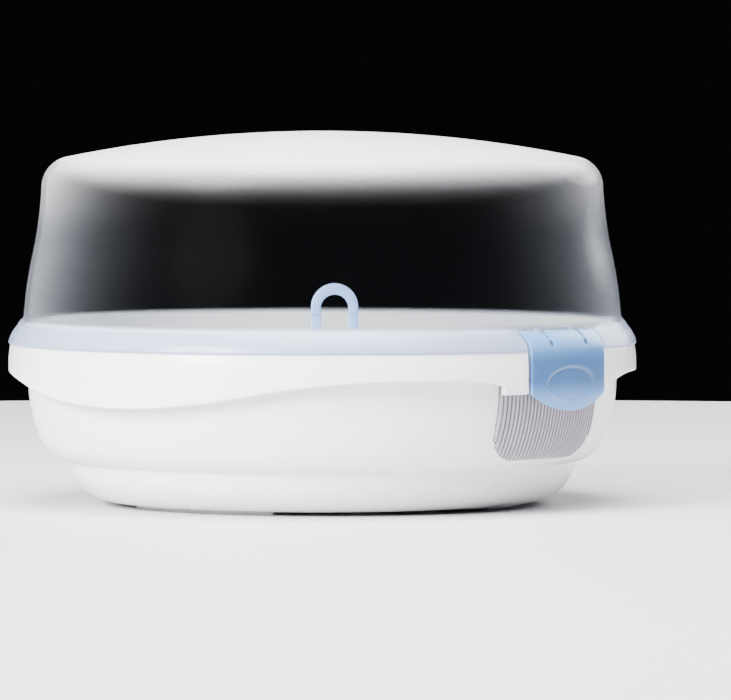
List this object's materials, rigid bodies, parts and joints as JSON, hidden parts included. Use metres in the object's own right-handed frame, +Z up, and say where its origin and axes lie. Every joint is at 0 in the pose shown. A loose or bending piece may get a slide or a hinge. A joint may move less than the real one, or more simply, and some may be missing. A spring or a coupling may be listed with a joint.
{
  "type": "microwave steam bottle sterilizer",
  "caption": "Round microwave steam sterilizer for baby bottles: white two-step bowl with a waved skirt, milky domed lid, hinged side clips, bottle rack and tongs.",
  "frame": {"origin": "under the middle of the three feet, on the surface that the steriliser stands on", "axes": "+Z up; the two clips lie on the X axis, the right one at +X; -Y is the front"},
  "size_m": [0.282, 0.2798, 0.166],
  "materials": {
    "white_pp": "white moulded polypropylene, satin gloss",
    "clear_pp": "milky see-through polypropylene, glossy",
    "clip_blue": "light blue tinted polypropylene, satin",
    "rack_white": "white moulded polypropylene, satin",
    "tongs_blue": "pale blue moulded plastic, satin",
    "grip_grey": "ribbed, satin pale grey",
    "foot_white": "plain white pad"
  },
  "bodies": {
    "bowl": {"base": "white_pp", "grip_pad_right": "grip_grey", "grip_pad_left": "grip_grey", "foot_front": "foot_white", "foot_rear_right": "foot_white", "foot_rear_left": "foot_white"},
    "lid": {"lid": "clear_pp"},
    "clip_right": {"clip_right": "clip_blue"},
    "clip_left": {"clip_left": "clip_blue"},
    "rack": {"rack": "rack_white"},
    "tongs": {"tongs_bow": "tongs_blue"},
    "tongs_arm_right": {"tongs_arm_right": "tongs_blue"},
    "tongs_arm_left": {"tongs_arm_left": "tongs_blue"}
  },
  "joints": [
    {"name": "lid_lift", "type": "slide", "parent": "bowl", "child": "lid", "axis": [0, 0, 1], "range_m": [0, 0.18]},
    {"name": "clip_right_open", "type": "hinge", "parent": "lid", "child": "clip_right", "pos_m": [0.1366, 0, 0.0762], "axis": [0, -1, 0], "range_deg": [0, 60]},
    {"name": "clip_left_open", "type": "hinge", "parent": "lid", "child": "clip_left", "pos_m": [-0.1366, 0, 0.0762], "axis": [0, 1, 0], "range_deg": [0, 60]},
    {"name": "rack_lift", "type": "slide", "parent": "bowl", "child": "rack", "axis": [0, 0, 1], "range_m": [0, 0.02]},
    {"name": "tongs_lift", "type": "slide", "parent": "rack", "child": "tongs", "axis": [0, 0, 1], "range_m": [0, 0.06]},
    {"name": "tongs_right_squeeze", "type": "hinge", "parent": "tongs", "child": "tongs_arm_right", "pos_m": [0.00881, 0.00739, 0.084], "axis": [-0.6428, 0.766, 0], "range_deg": [0, 2.6], "stiffness_Nm_per_rad": 0.5},
    {"name": "tongs_left_squeeze", "type": "hinge", "parent": "tongs", "child": "tongs_arm_left", "pos_m": [-0.00054, -0.00045, 0.084], "axis": [0.6428, -0.766, 0], "range_deg": [0, 2.6], "stiffness_Nm_per_rad": 0.5}
  ],
  "couplings": [
    {"joint": "tongs_left_squeeze", "follows": "tongs_right_squeeze", "ratio": 1}
  ]
}
